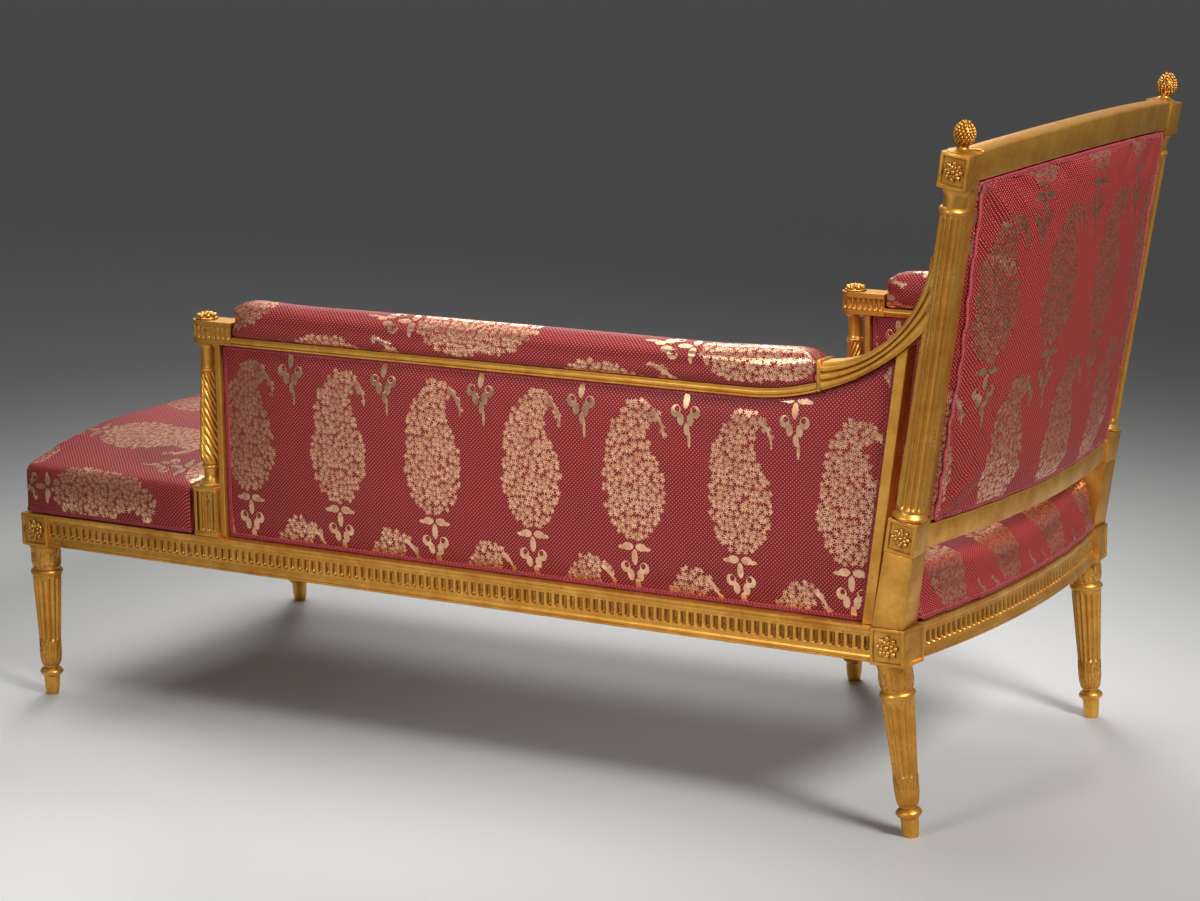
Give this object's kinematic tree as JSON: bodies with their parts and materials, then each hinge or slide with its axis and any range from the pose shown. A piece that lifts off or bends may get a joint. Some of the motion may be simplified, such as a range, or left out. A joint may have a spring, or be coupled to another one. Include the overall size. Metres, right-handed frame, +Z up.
{
  "type": "chaise longue",
  "caption": "Carved and gilded chaise longue with a raked padded back, a long padded arm on one side, a short one on the other, turned fluted legs and a domed silk seat.",
  "frame": {"origin": "on the floor, in the middle of the bounding box", "axes": "+Z up, +Y from the foot end to the back, +X to the side with the long arm"},
  "size_m": [0.7998, 1.7564, 1.0408],
  "materials": {
    "gilded_wood": "water gilded gold leaf",
    "silk_brocade": "silk brocade with gold thread",
    "linen_canvas": "plain weave",
    "jute_webbing": "plain weave",
    "beech_frame": "bare"
  },
  "bodies": {
    "root": {"front_leg_near": "gilded_wood", "front_leg_far": "gilded_wood", "middle_leg_far": "gilded_wood", "rear_post_near": "gilded_wood", "rear_post_far": "gilded_wood", "finial_near": "gilded_wood", "finial_far": "gilded_wood", "front_rail": "gilded_wood", "rear_rail": "gilded_wood", "side_rail_near": "gilded_wood", "side_rail_far_front": "gilded_wood", "side_rail_far_rear": "gilded_wood", "arm_support_near": "gilded_wood", "arm_support_far": "gilded_wood", "long_arm": "gilded_wood", "short_arm": "gilded_wood", "long_front_stile": "gilded_wood", "short_front_stile": "gilded_wood", "long_rear_stile": "gilded_wood", "short_rear_stile": "gilded_wood", "crest_rail": "gilded_wood", "back_lower_rail": "gilded_wood", "seat_pad": "silk_brocade", "long_arm_pad": "silk_brocade", "short_arm_pad": "silk_brocade", "long_outer_pad": "silk_brocade", "long_inner_pad": "silk_brocade", "short_outer_pad": "silk_brocade", "short_inner_pad": "silk_brocade", "back_front_pad": "silk_brocade", "back_rear_pad": "silk_brocade", "back_canvas": "linen_canvas", "long_panel_canvas": "linen_canvas", "short_panel_canvas": "linen_canvas", "seat_hessian": "linen_canvas", "seat_webbing": "jute_webbing", "cross_rail": "beech_frame", "corner_blocks": "beech_frame"}
  },
  "joints": []
}
